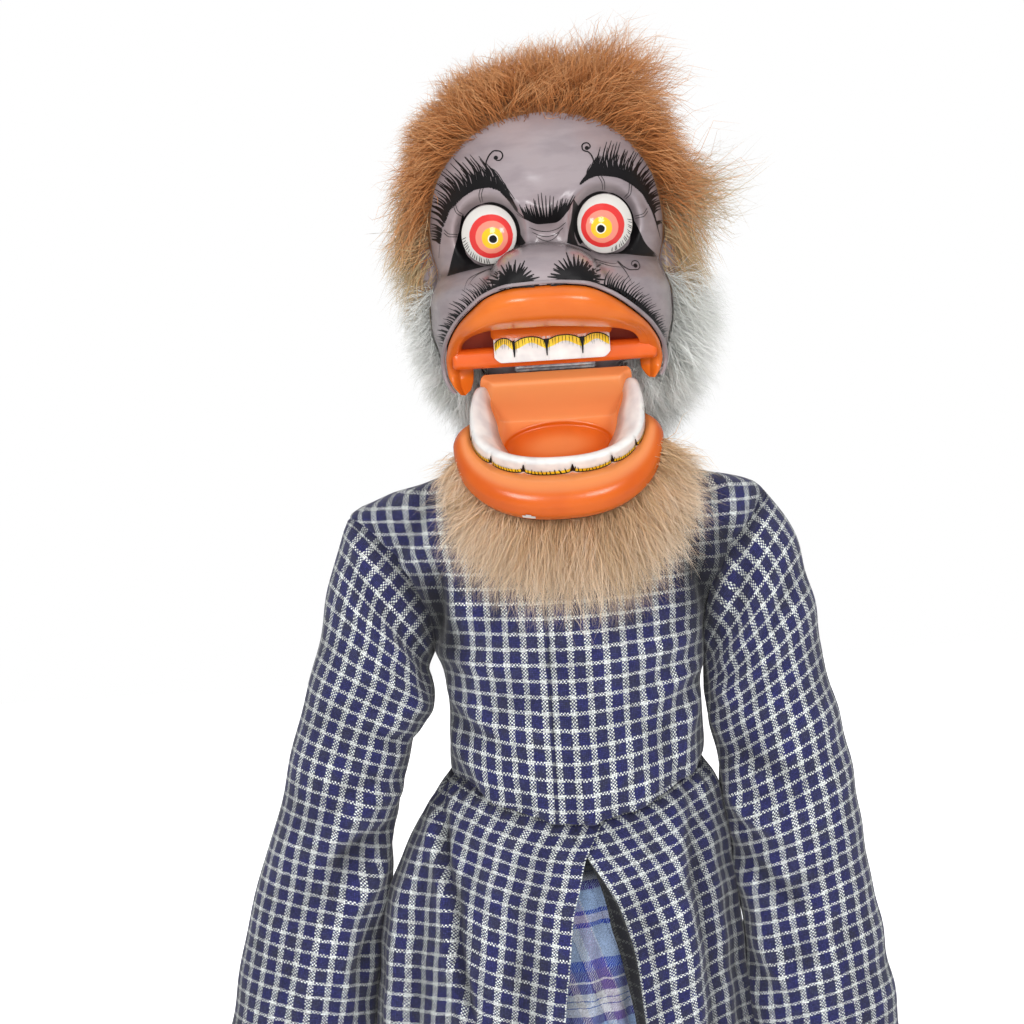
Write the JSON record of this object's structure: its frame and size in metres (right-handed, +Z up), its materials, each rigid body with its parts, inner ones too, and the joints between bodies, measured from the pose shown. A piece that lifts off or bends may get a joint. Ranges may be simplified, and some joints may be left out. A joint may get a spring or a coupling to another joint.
{
  "type": "wooden rod puppet",
  "caption": "Wooden rod puppet with a carved ogre head, hinged jaw, fur hair and beard, jointed arms on rods, and a woven check robe over a plaid sarong.",
  "frame": {"origin": "middle of the lower end of the main rod", "axes": "+Z up along the main rod, the face looks along -Y, +X to the viewer's right"},
  "size_m": [0.3129, 0.157, 0.842],
  "materials": {
    "turned_wood": "oiled, worn smooth",
    "face_enamel": "glossy enamel paint on carved wood",
    "hand_enamel": "glossy enamel paint on carved wood",
    "mouth_enamel": "glossy enamel paint on carved wood",
    "eye_enamel": "glossy enamel paint",
    "hinge_steel": "dull plated steel",
    "red_brown_fur": "long goat hair on hide",
    "grey_fur": "soft white and grey fur on hide",
    "tan_fur": "tan hair on hide",
    "check_cloth": "hand-woven cotton check",
    "sarong_cloth": "fine plaid cotton",
    "cotton_cord": "twisted cotton"
  },
  "bodies": {
    "rod_head": {"main_rod": "turned_wood", "head": "face_enamel", "left_eye": "eye_enamel", "right_eye": "eye_enamel", "upper_gum_bar": "mouth_enamel", "hinge_upper_leaf": "hinge_steel", "hinge_upper_screws": "hinge_steel", "hinge_pin": "hinge_steel", "hair_pelt": "red_brown_fur", "nape_pelt": "grey_fur"},
    "jaw": {"lower_jaw": "mouth_enamel", "hinge_lower_leaf": "hinge_steel", "hinge_lower_screws": "hinge_steel", "jaw_lever": "hinge_steel", "beard_pelt": "tan_fur"},
    "torso": {"chest_block": "turned_wood", "robe_body": "check_cloth", "waist_tie": "cotton_cord", "robe_skirt": "check_cloth", "sarong": "sarong_cloth"},
    "left_shoulder": {"left_shoulder_loop": "cotton_cord"},
    "left_upper": {"left_upper_arm": "turned_wood", "left_shoulder_peg": "turned_wood", "left_elbow_peg": "turned_wood", "left_upper_sleeve": "check_cloth"},
    "left_lower": {"left_forearm": "hand_enamel", "left_hand_pin": "turned_wood", "left_lower_sleeve": "check_cloth"},
    "left_rod": {"left_arm_rod": "turned_wood"},
    "right_shoulder": {"right_shoulder_loop": "cotton_cord"},
    "right_upper": {"right_upper_arm": "turned_wood", "right_shoulder_peg": "turned_wood", "right_elbow_peg": "turned_wood", "right_upper_sleeve": "check_cloth"},
    "right_lower": {"right_forearm": "hand_enamel", "right_hand_pin": "turned_wood", "right_lower_sleeve": "check_cloth"},
    "right_rod": {"right_arm_rod": "turned_wood"}
  },
  "joints": [
    {"name": "jaw_hinge", "type": "hinge", "parent": "rod_head", "child": "jaw", "pos_m": [0, -0.026, 0.69], "axis": [-1, 0, 0], "range_deg": [0, 44], "deforming": ["beard_pelt"]},
    {"name": "torso_turn", "type": "hinge", "parent": "rod_head", "child": "torso", "pos_m": [0, 0, 0.478], "axis": [0, 0, 1], "range_deg": [-35, 35], "deforming": ["nape_pelt"]},
    {"name": "left_shoulder_swing", "type": "hinge", "parent": "torso", "child": "left_shoulder", "pos_m": [-0.078, 0, 0.612], "axis": [-1, 0, 0], "range_deg": [-25, 90]},
    {"name": "left_shoulder_lift", "type": "hinge", "parent": "left_shoulder", "child": "left_upper", "pos_m": [-0.078, 0, 0.612], "axis": [0, 1, 0], "range_deg": [0, 65]},
    {"name": "left_elbow", "type": "hinge", "parent": "left_upper", "child": "left_lower", "pos_m": [-0.10655, 0, 0.4975], "axis": [-0.9703, 0, 0.2419], "range_deg": [0, 90], "deforming": ["left_lower_sleeve", "left_upper_sleeve"]},
    {"name": "left_rod_swing", "type": "hinge", "parent": "left_lower", "child": "left_rod", "pos_m": [-0.13129, 0, 0.36457], "axis": [1, 0, 0], "range_deg": [-60, 120]},
    {"name": "right_shoulder_swing", "type": "hinge", "parent": "torso", "child": "right_shoulder", "pos_m": [0.078, 0, 0.612], "axis": [-1, 0, 0], "range_deg": [-25, 90]},
    {"name": "right_shoulder_lift", "type": "hinge", "parent": "right_shoulder", "child": "right_upper", "pos_m": [0.078, 0, 0.612], "axis": [0, -1, 0], "range_deg": [0, 65]},
    {"name": "right_elbow", "type": "hinge", "parent": "right_upper", "child": "right_lower", "pos_m": [0.09033, 0, 0.49465], "axis": [-0.9945, 0, -0.1045], "range_deg": [0, 90], "deforming": ["right_lower_sleeve", "right_upper_sleeve"]},
    {"name": "right_rod_swing", "type": "hinge", "parent": "right_lower", "child": "right_rod", "pos_m": [0.09625, 0, 0.3584], "axis": [1, 0, 0], "range_deg": [-60, 120]}
  ]
}
